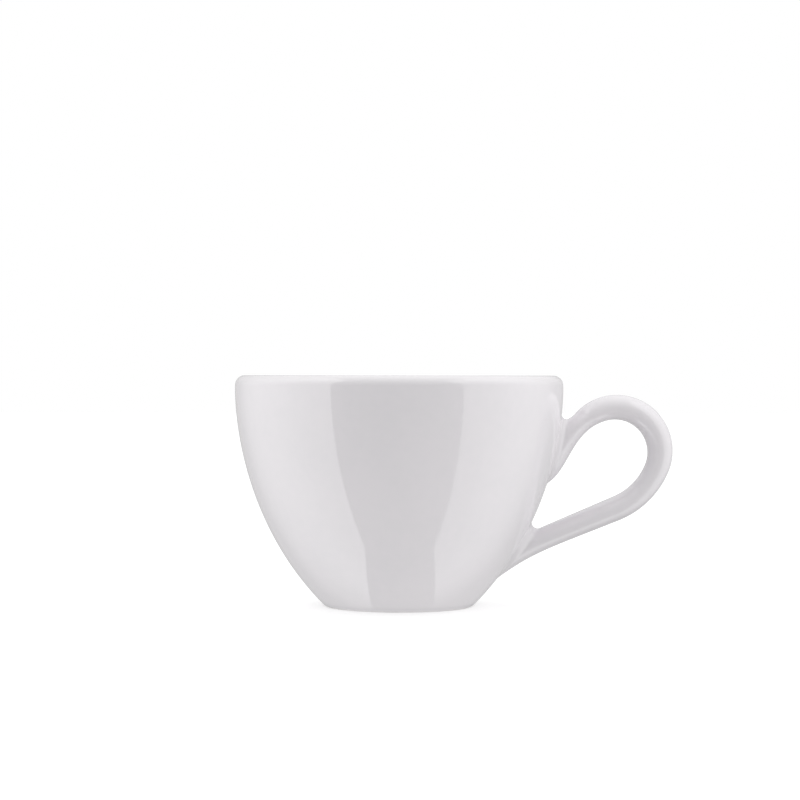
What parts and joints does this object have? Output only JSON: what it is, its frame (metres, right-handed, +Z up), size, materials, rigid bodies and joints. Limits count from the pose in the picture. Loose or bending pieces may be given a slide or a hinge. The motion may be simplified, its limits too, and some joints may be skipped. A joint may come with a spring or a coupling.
{
  "type": "coffee cup",
  "caption": "Tapered round coffee cup with a rounded lip, a small turned foot ring and a bent loop handle luted to its side.",
  "frame": {"origin": "middle of the foot ring, on the plane that the cup stands on", "axes": "+Z up along the bowl's axis, +X towards the handle, +Y to the side"},
  "size_m": [0.1161, 0.087, 0.0612],
  "materials": {
    "glazed_porcelain": "white gloss glaze over porcelain, bare on the foot ring's flat",
    "fired_slip": "slip of the same clay, fired and glazed over"
  },
  "bodies": {
    "root": {"cup_body": "glazed_porcelain", "handle": "glazed_porcelain", "upper_slip_joint": "fired_slip", "lower_slip_joint": "fired_slip"}
  },
  "joints": []
}
